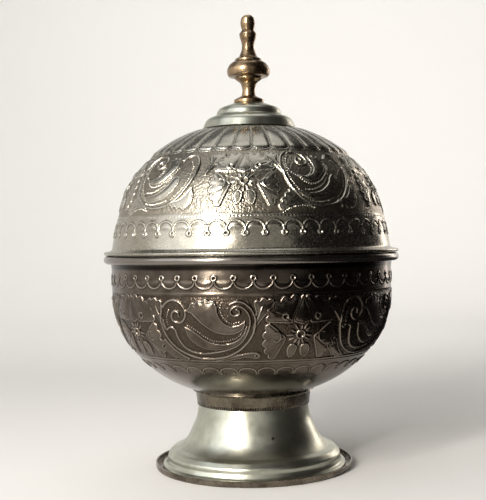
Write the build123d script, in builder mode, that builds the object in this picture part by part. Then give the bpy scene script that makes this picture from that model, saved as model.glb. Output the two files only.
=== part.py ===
from build123d import *
import math
import os

# A lidded bowl on a foot, raised and spun from sheet, with a turned finial.
# Millimetres. The origin is the middle of the base plate's underside, +Z is up.
# Each outline runs along a piece's outer side, and its bends are the radii at its corners.

# Sheet, joints and clearances
sheet = 0.9  # thickness of every beaten or spun wall
solder = 0.05  # film between pieces that are soldered or threaded together
lift_gap = 0.3  # between the lid's hem and the rolled rim
bezel_gap = 0.9  # between the lid's bezel and the bowl's wall
bore_gap = 0.15  # round the rod in the finial's bores
hem_fold = 0.5  # air left inside a folded hem
leg_share = 0.99  # most of an outline's straight leg that its bends may take

# Base plate
pan_radius = 67.0
pan_lip_height = 4.2
pan_bend = 1.6
gutter = 4.6  # from the foot's flange to the outside of the lip

# Foot, heights from the plate's floor
flange_hem_width = 2.6
cove_inset = 2.8  # insets count from the flange's edge
cove_height = 2.6
shoulder_inset = 3.8
shoulder_foot_height = 5.6
shoulder_height = 8.4
shoulder_top_inset = 6.8
shoulder_top_height = 11.8
crease_inset = 11.2
crease_height = 13.0
flare_inset = 16.4
flare_height = 16.7
waist_swell = 1.35  # over the neck's radius
waist_drop = 9.0  # below the seam
foot_rise = 42.1  # to the seam under the neck collar
foot_neck_radius = 37.25
foot_bends = (1.6, 1.6, 2.6, 3.0, 0.8, 22.0, 18.0, 12.0)
vent_radius = 0.95
vent_height = 24.4
vent_angle = 16.75  # from the front towards the right

# Neck collar
collar_height = 8.9
collar_taper = 1.1
collar_flange = 2.2
collar_bend = 1.5

# Bowl, heights from its floor
neck_rise = 7.0  # from the foot's seam to the bowl's floor
floor_inset = 4.15  # from the foot's neck to the edge of the floor
belly_low_radius = 63.75
belly_low_height = 12.5
belly_inset = 0.5  # from the wall
belly_height = 45.0
bowl_wall_radius = 94.8
bowl_depth = 91.5  # to the middle of the rolled rim
mouth_flare = 0.7
mouth_drop = 6.5  # from the middle of the rim to where the flare starts
bowl_bends = (6.0, 75.0, 62.0, 4.0, 2.0)
wire_radius = 1.75
curl_turn = 310.0  # degrees that the rim is rolled over its wire

# Lid, heights from its seat, which is the underside of its hem
lid_inset = 0.2  # from the bowl's rim
lid_hem_width = 4.0
root_inset = 0.2  # insets of the dome count from the bowl's wall
root_rise = 0.5  # over the top of the hem
low_inset = 2.8
low_height = 17.5
mid_inset = 6.3
mid_height = 31.5
high_inset = 11.3
high_height = 48.0
turn_inset = 34.4
turn_drop = 15.0  # drops count from the crown
brow_radius = 31.0
brow_drop = 2.6
crown_radius = 12.0
lid_height = 87.9
lid_bends = (2.5, 250.0, 100.0, 60.0, 85.0, 100.0, 10.0)

# Bezel inside the lid
bezel_drop = 11.3  # below the lid's seat
bezel_lead = 3.3  # height of its turned-in lower edge
bezel_turn_in = 1.7
bezel_bend = 4.0

# Cap on the lid, heights from the crown
cap_overhang = 1.0  # past the dome's brow
cap_sink = 0.4  # of its edge below the brow's corner
cap_shoulder_inset = 2.8  # insets count from the cap's edge
cap_shoulder_height = 3.6
cap_step_inset = 9.4
cap_step_height = 6.0
cap_neck_inset = 11.0
cap_neck_height = 10.8
cap_height = 14.6
cap_ledge = 0.3  # round the finial's base
cap_bends = (6.0, 1.2, 5.0, 6.0)

# Chased relief on the lid and the bowl. Angles count from the front towards the right, and
# lengths run along a piece's outside, from the start of its outline.
repeats = 5  # flowers round the lid and round the bowl, each with a scroll beside it
relief = 0.8  # height of the leaves over the sheet
root_depth = 0.45  # that raised work reaches into the sheet
outline_reach = 9.0  # that a leaf's outline is pushed through the sheet each way
lobe_swell = 0.42  # of a lobe, over the width between its notches
leaf_eye = 3.1  # radius of a flower's middle
flutes_per_flower = 7
flute_height = 1.2
flute_crease = 0.7  # width left between two flutes
flute_turn = 3.7  # from a flower to the next crease
flute_low = 73.2
flute_cap_gap = 1.4  # from the cap's edge to the upper ends of the flutes
flute_ease = 4.0  # length over which a flute's ends are rounded
flute_end_share = 0.5  # width of a flute's ends over its full width
lid_chase_radius = 86.0  # where the widths of the lid's leaves hold
lid_flower_length = 46.9
lid_flower_angle = -2.41
lid_flower_size = 0.92
lid_scroll_middle = 48.0  # from the flower's middle
bowl_chase_radius = 92.0
bowl_flower_length = 109.35
bowl_flower_angle = 18.7
bowl_flower_size = 1.0
bowl_scroll_middle = 63.0

# Rod, washer and nut
rod_radius = 2.0
rod_tail = 2.0  # below the nut
rod_head = 6.0  # inside the knob
washer_inset = 3.0  # from the edge of the crown
washer_thickness = 1.0
nut_wall = 1.45
nut_height = 3.2

# Finial base
base_radius = 10.2
base_break = 0.4
base_edge = 2.4
base_top_radius = 5.4
base_height = 4.9
base_bends = (0.2, 1.0)

# Finial stem
stem_root_radius = 4.9
stem_waist_radius = 4.1
stem_waist_height = 4.4
stem_throat_radius = 5.6
stem_throat_height = 9.2
cup_radius = 9.2
cup_edge = 1.1  # height of the cup's upright edge
stem_height = 12.7
stem_bends = (8.0, 4.0, 0.6)

# Finial bulb
bulb_under_inset = 0.9
bulb_under_height = 0.6
bulb_radius = 14.9
bulb_middle = 5.0
bulb_top_inset = 2.1
bulb_top_height = 9.2
bulb_height = 11.3
bulb_bends = (2.6, 5.0, 5.0)

# Finial spindle
spindle_flange_radius = 9.1
spindle_flange_height = 1.2
spindle_root_radius = 6.3
spindle_root_height = 2.6
spindle_waist_radius = 3.6
spindle_waist_height = 9.8
spindle_swell_radius = 5.5
spindle_swell_height = 15.8
spindle_collar_radius = 5.9
spindle_collar_drop = 2.3  # below its tip
spindle_tip_radius = 4.1
spindle_height = 21.0
spindle_bends = (0.5, 3.0, 10.0, 6.0, 1.2)

# Finial knob
knob_radius = 5.1
knob_middle = 4.6
knob_brow_radius = 4.5
knob_brow_drop = 1.9
knob_crown_radius = 2.5
knob_height = 10.3
knob_bends = (3.0, 2.0, 1.6)

# Radii and levels that follow from the sizes above
hem_height = 2 * sheet + hem_fold
bore_radius = rod_radius + bore_gap
thread_radius = rod_radius + solder
curl_inside = wire_radius + solder
bead_radius = curl_inside + sheet
bead_centre_radius = bowl_wall_radius + mouth_flare + curl_inside
flange_radius = pan_radius - gutter
bowl_floor_radius = foot_neck_radius - floor_inset
lid_radius = bead_centre_radius + bead_radius - lid_inset
cap_radius = brow_radius + cap_overhang

seam_z = sheet + foot_rise
bowl_floor_z = seam_z + neck_rise
rim_z = bowl_floor_z + bowl_depth
seat_z = rim_z + bead_radius + lift_gap
crown_z = seat_z + lid_height
cap_top_z = crown_z + cap_height
stem_z = cap_top_z + base_height
bulb_z = stem_z + stem_height
spindle_z = bulb_z + bulb_height
knob_z = spindle_z + spindle_height


def upright(height=0):
    """The XZ plane at a height: its x is the radius, its y is upwards."""
    return Plane((0, 0, height), x_dir=(1, 0, 0), z_dir=(0, -1, 0))


def bent_line(*corners, bends):
    """A line through the corners, rounded to the bend radii at its inner corners.

    Where a leg is too short for the bends at its ends, both get tighter.
    """
    directions = [Vector(*end) - Vector(*start) for start, end in zip(corners, corners[1:])]
    turns = [math.radians(a.get_angle(b)) for a, b in zip(directions, directions[1:])]
    reaches = [bend * math.tan(turn / 2) for bend, turn in zip(bends, turns)]
    room = [
        min(1, leg_share * leg.length / max(before + after, sheet / 100))
        for leg, before, after in zip(directions, [0, *reaches], [*reaches, 0])
    ]
    radii = [bend * min(pair) for bend, pair in zip(bends, zip(room, room[1:]))]
    return FilletPolyline(*corners, radius=radii)


def chased_plane(outline, height, length, angle):
    """A plane on a turned outside, square to it, with its x round the piece and its y along it."""
    place = outline.position_at(length, position_mode=PositionMode.LENGTH)
    along = outline.tangent_at(length, position_mode=PositionMode.LENGTH)
    standing = Plane(
        (place.X, 0, place.Y + height), x_dir=(0, 1, 0), z_dir=(along.Y, 0, -along.X)
    )
    return Plane(Rotation(0, 0, angle - 90) * standing.location)


def length_at_radius(outline, radius, low):
    """The length past low at which an outline that runs inwards comes in to a radius."""
    high = outline.length
    while high - low > solder:
        middle = (low + high) / 2
        if outline.position_at(middle, position_mode=PositionMode.LENGTH).X > radius:
            low = middle
        else:
            high = middle
    return low


def lobed_line(start, *notches):
    """Round lobes from notch to notch, on the left of the way that they run."""
    for notch in notches:
        SagittaArc(start, notch, lobe_swell * math.dist(start, notch))
        start = notch


def flower():
    """A top leaf, two pairs of lobed leaves beside it and a round middle."""
    with BuildSketch() as leaves:
        with BuildLine():
            Spline((0, 7), (-4.9, 9.4), (-3.6, 14.8), (0, 24.3))
            Spline((0, 24.3), (3.6, 14.8), (4.9, 9.4), (0, 7))
        make_face()
        with BuildLine():
            lobed_line((-20.4, 8.8), (-20.2, 12.2), (-17.6, 16.6), (-13.2, 20), (-7.4, 22), (-3, 21.8))
            Spline((-3, 21.8), (-5, 14.6), (-6.5, 8.8))
            Spline((-6.5, 8.8), (-13.1, 8.4), (-20.4, 8.8))
        upper = make_face()
        with BuildLine():
            lobed_line((-15.6, -17.2), (-19.6, -13.8), (-21.2, -9), (-21.6, -3.2), (-21.2, 2.4), (-19.4, 7))
            Spline((-19.4, 7), (-15.6, 4), (-9.6, -3.4))
            Spline((-9.6, -3.4), (-12.6, -10.4), (-15.6, -17.2))
        lower = make_face()
        mirror(upper, about=Plane.YZ)
        mirror(lower, about=Plane.YZ)
        Circle(leaf_eye)
    return leaves.sketch


def lid_scroll():
    """The leaves of the lid's scroll, placed from the middle of the flower to its left."""
    with BuildSketch() as leaves:
        with BuildLine():
            Spline((35.4, 3.6), (44.4, 0.3), (52.6, 4.4), (60, 18))
            lobed_line((47.6, 19), (51.6, 19.6), (55.8, 19.4), (60, 18))
            ThreePointArc((47.6, 19), (46.4, 8.4), (35.4, 3.6))
        make_face()
        with BuildLine():
            Spline((34, -7.6), (43.4, -8.4), (52.8, -4.6), (58.6, 2.4), (62.6, 4.6))
            Spline((62.6, 4.6), (63.4, -1.8), (56.8, -9), (45.6, -12.2), (34, -7.6))
        make_face()
        with BuildLine():
            Spline((22.4, -19.4), (32.1, -15.2), (41, -16.2))
            Spline((41, -16.2), (33.6, -10.6), (29.6, -6.4))
            lobed_line((22.4, -19.4), (23.4, -13.6), (26.4, -9.6), (29.6, -6.4))
        make_face()
    return leaves.sketch


def bowl_scroll():
    """The leaves of the bowl's scroll, placed from the middle of the flower to its left."""
    with BuildSketch() as leaves:
        with BuildLine():
            Spline((45.4, 15.2), (57.2, 6), (67.4, 1.2), (77.5, 2.4), (81.4, 8.8))
            Spline((81.4, 8.8), (73.3, 5.6), (66.9, 10), (65, 17.6))
            lobed_line((45.4, 15.2), (50, 18.6), (55, 20), (60.4, 20.6), (65, 17.6))
        make_face()
        with BuildLine():
            Spline((43.6, 5), (51, 0.8), (59.6, -5.2), (71, -5.8), (78, -2), (82.4, 5.6))
            Spline((82.4, 5.6), (80.4, -1.6), (71, -8.2), (60.4, -10.2), (46.6, -3.6), (43.6, 5))
        make_face()
    return leaves.sketch


def raised_leaves(outline, height, length, angle, chase_radius, size, scroll, scroll_middle):
    """A flower and a scroll as pads that follow a turned piece, from inside its sheet outwards."""
    with BuildPart() as pads:
        with BuildSketch(chased_plane(outline, height, length, angle)):
            add(flower().scale(size))
        scroll_angle = angle + math.degrees(size * scroll_middle / chase_radius)
        with BuildSketch(chased_plane(outline, height, length, scroll_angle)):
            add(Pos(-size * scroll_middle, 0) * scroll.scale(size))
        extrude(amount=outline_reach, both=True)
        with BuildSketch(upright(height)):
            with BuildLine():
                add(outline)
                offset(amount=relief)
            make_face()
        revolve(axis=Axis.Z, mode=Mode.INTERSECT)
    return pads.part


# Base plate: a disc with its edge turned up round the foot's flange.
with BuildPart() as base_pan:
    with BuildSketch(upright()):
        with BuildLine():
            bent_line(
                (0, 0), (pan_radius, 0), (pan_radius, pan_lip_height), bends=(pan_bend,)
            )
            offset(amount=sheet, side=Side.LEFT)
        make_face()
    revolve(axis=Axis.Z)

# The bowl's underside rises evenly from its floor, over the collar and the foot's neck.
belly_slope = belly_low_height / (belly_low_radius - bowl_floor_radius)


def under_bowl(radius, depth):
    """Height over the bowl's floor that is a depth below its underside, square to it."""
    return (radius - bowl_floor_radius) * belly_slope - depth * math.hypot(1, belly_slope)


# Foot: a trumpet with a crease, a rounded shoulder and a flange hemmed at its edge.
foot_neck_top = foot_rise + neck_rise + under_bowl(foot_neck_radius - sheet, solder)
with BuildPart() as foot:
    with BuildSketch(upright(sheet)):
        with BuildLine():
            bent_line(
                (flange_radius - hem_height / 2, hem_height),
                (flange_radius - cove_inset, cove_height),
                (flange_radius - shoulder_inset, shoulder_foot_height),
                (flange_radius - shoulder_inset, shoulder_height),
                (flange_radius - shoulder_top_inset, shoulder_top_height),
                (flange_radius - crease_inset, crease_height),
                (flange_radius - flare_inset, flare_height),
                (foot_neck_radius + waist_swell, foot_rise - waist_drop),
                (foot_neck_radius, foot_rise),
                (foot_neck_radius, foot_neck_top),
                bends=foot_bends,
            )
            offset(amount=sheet, side=Side.LEFT)
        make_face()
        with Locations((flange_radius - flange_hem_width / 2, hem_height / 2)):
            SlotOverall(flange_hem_width, hem_height)
    revolve(axis=Axis.Z)
    vent_direction = Vector(0, -1, 0).rotate(Axis.Z, vent_angle)
    with BuildSketch(Plane((0, 0, sheet + vent_height), z_dir=vent_direction)):
        Circle(vent_radius)
    extrude(amount=pan_radius, mode=Mode.SUBTRACT)

# Neck collar: a band over the foot's neck, flanged under the bowl.
collar_radius = foot_neck_radius + solder + sheet
collar_top_radius = collar_radius + collar_taper
collar_flange_radius = collar_top_radius + collar_flange
collar_top = under_bowl(collar_top_radius, sheet + solder)
with BuildPart() as neck_collar:
    with BuildSketch(upright(bowl_floor_z)):
        with BuildLine():
            bent_line(
                (collar_radius, collar_top - collar_height),
                (collar_top_radius, collar_top),
                (collar_flange_radius, under_bowl(collar_flange_radius, sheet + solder)),
                bends=(collar_bend,),
            )
            offset(amount=sheet, side=Side.LEFT)
        make_face()
    revolve(axis=Axis.Z)

# Bowl: closed at the bottom, its mouth flared a little and rolled over a wire.
mouth_radius = bowl_wall_radius + mouth_flare
curl_centre = (bead_centre_radius, bowl_depth)
with BuildPart() as bowl:
    with BuildSketch(upright(bowl_floor_z)):
        with BuildLine():
            bowl_outline = bent_line(
                (0, 0),
                (bowl_floor_radius, 0),
                (belly_low_radius, belly_low_height),
                (bowl_wall_radius - belly_inset, belly_height),
                (bowl_wall_radius, bowl_depth - mouth_drop),
                (mouth_radius, bowl_depth - bead_radius),
                (mouth_radius, bowl_depth),
                bends=bowl_bends,
            )
            offset(amount=sheet, side=Side.LEFT)
        make_face()
        with BuildLine():
            inner_curl = CenterArc(curl_centre, curl_inside, 180, -curl_turn)
            outer_curl = CenterArc(curl_centre, bead_radius, 180, -curl_turn)
            Line(inner_curl @ 0, outer_curl @ 0)
            Line(inner_curl @ 1, outer_curl @ 1)
        make_face()
    revolve(axis=Axis.Z)
    bowl_leaves = raised_leaves(
        bowl_outline, bowl_floor_z, bowl_flower_length, bowl_flower_angle, bowl_chase_radius,
        bowl_flower_size, bowl_scroll(), bowl_scroll_middle,
    )
    with PolarLocations(0, repeats):
        add(bowl_leaves)

# Wire inside the rolled rim.
with BuildPart() as bowl_rim_wire:
    with BuildSketch(upright(rim_z)):
        with Locations((bead_centre_radius, 0)):
            Circle(wire_radius)
    revolve(axis=Axis.Z)

# Lid: a dome with a flared edge, hemmed under, and a hole in its crown for the rod.
root_radius = bowl_wall_radius - root_inset
root_height = hem_height + root_rise
low_radius = bowl_wall_radius - low_inset
with BuildPart() as lid_dome:
    with BuildSketch(upright(seat_z)):
        with BuildLine():
            lid_outline = bent_line(
                (lid_radius - hem_height / 2, hem_height),
                (root_radius, root_height),
                (low_radius, low_height),
                (bowl_wall_radius - mid_inset, mid_height),
                (bowl_wall_radius - high_inset, high_height),
                (bowl_wall_radius - turn_inset, lid_height - turn_drop),
                (brow_radius, lid_height - brow_drop),
                (crown_radius, lid_height),
                (bore_radius, lid_height),
                bends=lid_bends,
            )
            offset(amount=sheet, side=Side.LEFT)
        make_face()
        with Locations((lid_radius - lid_hem_width / 2, hem_height / 2)):
            SlotOverall(lid_hem_width, hem_height)
    revolve(axis=Axis.Z)
    lid_leaves = raised_leaves(
        lid_outline, seat_z, lid_flower_length, lid_flower_angle, lid_chase_radius,
        lid_flower_size, lid_scroll(), lid_scroll_middle,
    )
    with PolarLocations(0, repeats):
        add(lid_leaves)

# Flutes: ribs from the cap down the dome's shoulder, each lofted through bow-shaped sections
# that stand square to the dome with their flat sides inside the sheet.
flute_pitch = 360 / (repeats * flutes_per_flower)
flute_angle = lid_flower_angle + flute_turn + flute_pitch / 2
flute_high = length_at_radius(lid_outline, cap_radius + flute_cap_gap, flute_low)
flute_middle = (flute_low + flute_high) / 2
with BuildPart() as flute:
    for length, width_share, height in (
        (flute_low, flute_end_share, 0),
        (flute_low + flute_ease, 1, flute_height),
        (flute_middle, 1, flute_height),
        (flute_high - flute_ease, 1, flute_height),
        (flute_high, flute_end_share, 0),
    ):
        place = chased_plane(lid_outline, seat_z, length, flute_angle)
        radius = lid_outline.position_at(length, position_mode=PositionMode.LENGTH).X
        width = width_share * (math.radians(flute_pitch) * radius - flute_crease)
        with BuildSketch(Plane(place.origin, x_dir=place.x_dir, z_dir=-place.y_dir)):
            with BuildLine():
                left, right = (-width / 2, -root_depth), (width / 2, -root_depth)
                Line(left, right)
                SagittaArc(left, right, root_depth + height)
            make_face()
    loft()
with lid_dome:
    with PolarLocations(0, repeats * flutes_per_flower):
        add(flute.part)

# Bezel: a ring that drops into the bowl's mouth. Its top edge is soldered inside the
# dome, at the height where the leaning wall comes in to the bezel's radius.
bezel_radius = bowl_wall_radius - sheet - bezel_gap
wall_lean = (root_radius - low_radius) / (low_height - root_height)
wall_outside_bezel = bezel_radius + solder + sheet * math.hypot(1, wall_lean)
bezel_top = root_height + (root_radius - wall_outside_bezel) / wall_lean
with BuildPart() as lid_bezel:
    with BuildSketch(upright(seat_z)):
        with BuildLine():
            bent_line(
                (bezel_radius - bezel_turn_in, -bezel_drop),
                (bezel_radius, bezel_lead - bezel_drop),
                (bezel_radius, bezel_top),
                bends=(bezel_bend,),
            )
            offset(amount=sheet, side=Side.LEFT)
        make_face()
    revolve(axis=Axis.Z)

# Cap: a two-stepped shell over the crown that the finial stands on.
with BuildPart() as lid_cap:
    with BuildSketch(upright(crown_z)):
        with BuildLine():
            bent_line(
                (cap_radius, -brow_drop - cap_sink),
                (cap_radius - cap_shoulder_inset, cap_shoulder_height),
                (cap_radius - cap_step_inset, cap_step_height),
                (cap_radius - cap_neck_inset, cap_neck_height),
                (base_radius + cap_ledge, cap_height),
                (bore_radius, cap_height),
                bends=cap_bends,
            )
            offset(amount=sheet, side=Side.LEFT)
        make_face()
    revolve(axis=Axis.Z)

# Finial base: a disc with a rounded edge and a sloping top.
with BuildPart() as finial_base:
    with BuildSketch(upright(cap_top_z)):
        with BuildLine():
            edge = bent_line(
                (base_radius - base_break, 0),
                (base_radius, base_break),
                (base_radius, base_edge),
                (base_top_radius, base_height),
                bends=base_bends,
            )
            Polyline(edge @ 1, (bore_radius, base_height), (bore_radius, 0), edge @ 0)
        make_face()
    revolve(axis=Axis.Z)

# Finial stem: a waist that opens into a cup under the bulb.
with BuildPart() as finial_stem:
    with BuildSketch(upright(stem_z)):
        with BuildLine():
            edge = bent_line(
                (stem_root_radius, 0),
                (stem_waist_radius, stem_waist_height),
                (stem_throat_radius, stem_throat_height),
                (cup_radius, stem_height - cup_edge),
                (cup_radius, stem_height),
                bends=stem_bends,
            )
            Polyline(edge @ 1, (bore_radius, stem_height), (bore_radius, 0), edge @ 0)
        make_face()
    revolve(axis=Axis.Z)

# Finial bulb: flat below, round above.
with BuildPart() as finial_bulb:
    with BuildSketch(upright(bulb_z)):
        with BuildLine():
            edge = bent_line(
                (cup_radius, 0),
                (bulb_radius - bulb_under_inset, bulb_under_height),
                (bulb_radius, bulb_middle),
                (bulb_radius - bulb_top_inset, bulb_top_height),
                (spindle_flange_radius, bulb_height),
                bends=bulb_bends,
            )
            Polyline(edge @ 1, (bore_radius, bulb_height), (bore_radius, 0), edge @ 0)
        make_face()
    revolve(axis=Axis.Z)

# Finial spindle: a thin flange, a drawn-in waist and a collar.
with BuildPart() as finial_spindle:
    with BuildSketch(upright(spindle_z)):
        with BuildLine():
            edge = bent_line(
                (spindle_flange_radius, 0),
                (spindle_flange_radius, spindle_flange_height),
                (spindle_root_radius, spindle_root_height),
                (spindle_waist_radius, spindle_waist_height),
                (spindle_swell_radius, spindle_swell_height),
                (spindle_collar_radius, spindle_height - spindle_collar_drop),
                (spindle_tip_radius, spindle_height),
                bends=spindle_bends,
            )
            Polyline(edge @ 1, (bore_radius, spindle_height), (bore_radius, 0), edge @ 0)
        make_face()
    revolve(axis=Axis.Z)

# Finial knob: closed on top, threaded from below onto the rod.
with BuildPart() as finial_knob:
    with BuildSketch(upright(knob_z)):
        with BuildLine():
            edge = bent_line(
                (spindle_tip_radius, 0),
                (knob_radius, knob_middle),
                (knob_brow_radius, knob_height - knob_brow_drop),
                (knob_crown_radius, knob_height),
                (0, knob_height),
                bends=knob_bends,
            )
            Polyline(
                edge @ 1, (0, rod_head), (thread_radius, rod_head), (thread_radius, 0), edge @ 0
            )
        make_face()
    revolve(axis=Axis.Z)

# Rod, washer and nut that pull the finial, the cap and the crown together.
washer_z = crown_z - sheet - washer_thickness
nut_z = washer_z - nut_height
rod_low_z = nut_z - rod_tail
rod_high_z = knob_z + rod_head - bore_gap
with BuildPart() as finial_rod:
    with BuildSketch(Plane.XY.offset(rod_low_z)):
        Circle(rod_radius)
    extrude(amount=rod_high_z - rod_low_z)

with BuildPart() as finial_washer:
    with BuildSketch(Plane.XY.offset(washer_z)):
        Circle(crown_radius - washer_inset)
        Circle(bore_radius, mode=Mode.SUBTRACT)
    extrude(amount=washer_thickness)

with BuildPart() as finial_nut:
    with BuildSketch(Plane.XY.offset(nut_z)):
        RegularPolygon(thread_radius + nut_wall, side_count=6, major_radius=False)
        Circle(thread_radius, mode=Mode.SUBTRACT)
    extrude(amount=nut_height)

pieces = {
    "base_pan": base_pan,
    "foot": foot,
    "neck_collar": neck_collar,
    "bowl": bowl,
    "bowl_rim_wire": bowl_rim_wire,
    "lid_dome": lid_dome,
    "lid_bezel": lid_bezel,
    "lid_cap": lid_cap,
    "finial_base": finial_base,
    "finial_stem": finial_stem,
    "finial_bulb": finial_bulb,
    "finial_spindle": finial_spindle,
    "finial_knob": finial_knob,
    "finial_rod": finial_rod,
    "finial_washer": finial_washer,
    "finial_nut": finial_nut,
}
os.makedirs("parts", exist_ok=True)
for label, piece in pieces.items():
    piece.part.label = label
    export_step(piece.part, f"parts/{label}.step")
    box = piece.part.bounding_box()
    print(f"{label}: z {box.min.Z:.2f} to {box.max.Z:.2f}, radius {box.max.X:.2f}")
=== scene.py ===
# %% [markdown]
# # A lidded footed bowl in beaten metal
# The bowl is raised from sheet, chased with flowers and scrolls, and stands on a spun foot. Its lid
# is a chased dome with a spun cap and a turned brass finial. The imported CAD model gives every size
# and place. The turned pieces keep their CAD meshes and get a finish here. The two chased pieces,
# the dome and the bowl, are made again with their relief.

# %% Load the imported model
import math

import bpy
import numpy as np
from mathutils import Matrix, Vector


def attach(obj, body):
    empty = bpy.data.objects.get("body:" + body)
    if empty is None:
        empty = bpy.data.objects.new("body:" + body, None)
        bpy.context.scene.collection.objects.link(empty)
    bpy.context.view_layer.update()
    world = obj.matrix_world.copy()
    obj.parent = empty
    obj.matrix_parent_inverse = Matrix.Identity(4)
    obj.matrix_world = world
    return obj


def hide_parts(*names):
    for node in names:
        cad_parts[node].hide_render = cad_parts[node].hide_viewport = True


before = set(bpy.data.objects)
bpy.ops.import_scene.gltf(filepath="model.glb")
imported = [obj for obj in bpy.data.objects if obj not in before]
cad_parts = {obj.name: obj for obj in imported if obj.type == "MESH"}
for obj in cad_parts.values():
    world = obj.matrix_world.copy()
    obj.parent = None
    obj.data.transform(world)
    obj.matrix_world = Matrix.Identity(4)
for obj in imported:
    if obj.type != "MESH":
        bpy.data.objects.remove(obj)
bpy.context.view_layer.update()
bpy.ops.object.select_all(action="DESELECT")
MM = 0.001

# %% [markdown]
# ## Helpers for materials
# Colours are written as they look on a screen, in sRGB hex. A shader wants linear light, so one
# function turns them. Another adds a node with its settings and its inputs, which may be values,
# hex colours or other nodes. Two more start a material and finish it.


# %% Colour and node helpers
def linear(hex_colour):
    """An sRGB hex colour as the linear red, green, blue and alpha that a shader wants."""
    parts = [int(hex_colour[start:start + 2], 16) / 255 for start in (1, 3, 5)]
    return [p / 12.92 if p <= 0.04045 else ((p + 0.055) / 1.055) ** 2.4 for p in parts] + [1.0]


def add_node(tree, kind, inputs=None, **settings):
    """Adds one shader node. A node or a socket given for an input is linked, anything else is set.

    Of a node its first output in use is linked, and a hex colour is turned to linear light. Inputs
    that share a name go by number: in a colour mix, 0 is the share and 6 and 7 are the colours.
    """
    made = tree.nodes.new("ShaderNode" + kind)
    for name, value in settings.items():
        setattr(made, name, value)
    for key, value in (inputs or {}).items():
        if isinstance(value, bpy.types.Node):
            value = next(socket for socket in value.outputs if socket.enabled)
        if isinstance(value, bpy.types.NodeSocket):
            tree.links.new(value, made.inputs[key])
        else:
            made.inputs[key].default_value = linear(value) if isinstance(value, str) else value
    return made


def empty_material(name):
    """A material with no nodes."""
    material = bpy.data.materials.new(name)
    material.use_nodes = True
    material.node_tree.nodes.clear()
    return material


def finish_material(material, shader):
    """Joins the shader to an output."""
    add_node(material.node_tree, "OutputMaterial", {"Surface": shader})
    print("material", material.name, "has", len(material.node_tree.nodes), "nodes")


# %% [markdown]
# ## Camera
# The photograph was taken from 660 mm in front of the bowl's axis and level with the rim, tipped a
# hair down and rolled by under a degree. The lens value makes 963 pixels of focal length on a 500
# pixel side.

# %% Camera
CAMERA_DISTANCE = 660 * MM
CAMERA_HEIGHT = 151.9 * MM
CAMERA_TIP, CAMERA_ROLL = math.radians(-0.45), math.radians(0.87)
FOCAL_PIXELS, PICTURE_HEIGHT = 963, 500
AXIS_OFFSET_PIXELS = 8.1
SENSOR = 36.0

bpy.ops.object.camera_add(location=(0, -CAMERA_DISTANCE, CAMERA_HEIGHT))
camera = bpy.context.object
camera.name = "photo_camera"
camera.rotation_mode = "QUATERNION"
aim = Matrix.Rotation(math.pi / 2 + CAMERA_TIP, 4, "X") @ Matrix.Rotation(-CAMERA_ROLL, 4, "Z")
camera.rotation_quaternion = aim.to_quaternion()
camera.data.sensor_fit = "AUTO"
camera.data.sensor_width = SENSOR
camera.data.lens = FOCAL_PIXELS / PICTURE_HEIGHT * SENSOR
camera.data.shift_x = -AXIS_OFFSET_PIXELS / PICTURE_HEIGHT
camera.data.clip_start, camera.data.clip_end = 0.01, 20
bpy.context.scene.camera = camera
print("lens", round(camera.data.lens, 1), "mm")

# %% [markdown]
# ## Floor and backdrop
# A studio cove: a round floor that turns up into a wall through a large curve, so that no line
# shows where they meet. Spinning one bent line about Z makes it in one go. It is pale and plain.

# %% Cove
COVE_RADIUS, COVE_BEND, COVE_HEIGHT = 1.7, 0.5, 1.5
COVE_FLAT = 0.6  # m out from the middle, where the floor has a ring of vertices
COVE_STEPS = 96


def studio_cove():
    """A floor and a wall round it, from one spun line."""
    bpy.ops.mesh.primitive_plane_add(size=0.1)
    cove = bpy.context.object
    cove.name = "studio_cove"
    bends = [math.radians(a) for a in range(0, 91, 10)]
    line = [(0.0, 0.0), (COVE_FLAT, 0.0)]
    inner = COVE_RADIUS - COVE_BEND
    line += [(inner + COVE_BEND * math.sin(a), COVE_BEND - COVE_BEND * math.cos(a)) for a in bends]
    line += [(COVE_RADIUS, COVE_HEIGHT)]
    cove.data.clear_geometry()
    runs = [(i, i + 1) for i in range(len(line) - 1)]
    cove.data.from_pydata([(r, 0, z) for r, z in line], runs, [])
    bpy.ops.object.mode_set(mode="EDIT")
    bpy.ops.mesh.select_all(action="SELECT")
    bpy.ops.mesh.spin(steps=COVE_STEPS, angle=2 * math.pi, center=(0, 0, 0), axis=(0, 0, 1))
    bpy.ops.mesh.select_all(action="SELECT")
    bpy.ops.mesh.remove_doubles(threshold=1e-5)
    bpy.ops.mesh.normals_make_consistent(inside=True)
    bpy.ops.object.mode_set(mode="OBJECT")
    bpy.ops.object.shade_smooth()
    cove.select_set(False)
    return cove


cove = studio_cove()
pale = empty_material("pale_paint")
paint = add_node(pale.node_tree, "BsdfPrincipled",
                 {"Base Color": "#EAE8E4", "Roughness": 0.9, "Specular IOR Level": 0.0})
finish_material(pale, paint)
cove.data.materials.append(pale)
print("cove faces", len(cove.data.polygons))

# %% [markdown]
# ## Light
# Metal shows what stands round it more than its own colour, so its lamps are chosen for their
# reflections. A wide window stands to the upper left in front, as in the photograph, with a tall
# narrow lamp in it that draws the hard highlight. A panel overhead is mirrored by the dome's
# shoulder. Two lamps light only the wall, behind and on the left, and a weak one edges the right
# side. On the right stands a dark card with its foot on the floor, as a photographer sets one
# beside silver. Only mirror rays meet it, so it darkens no floor and hides nothing.

# %% Lamps
MIDDLE = (0, 0, 0.15)
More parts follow.
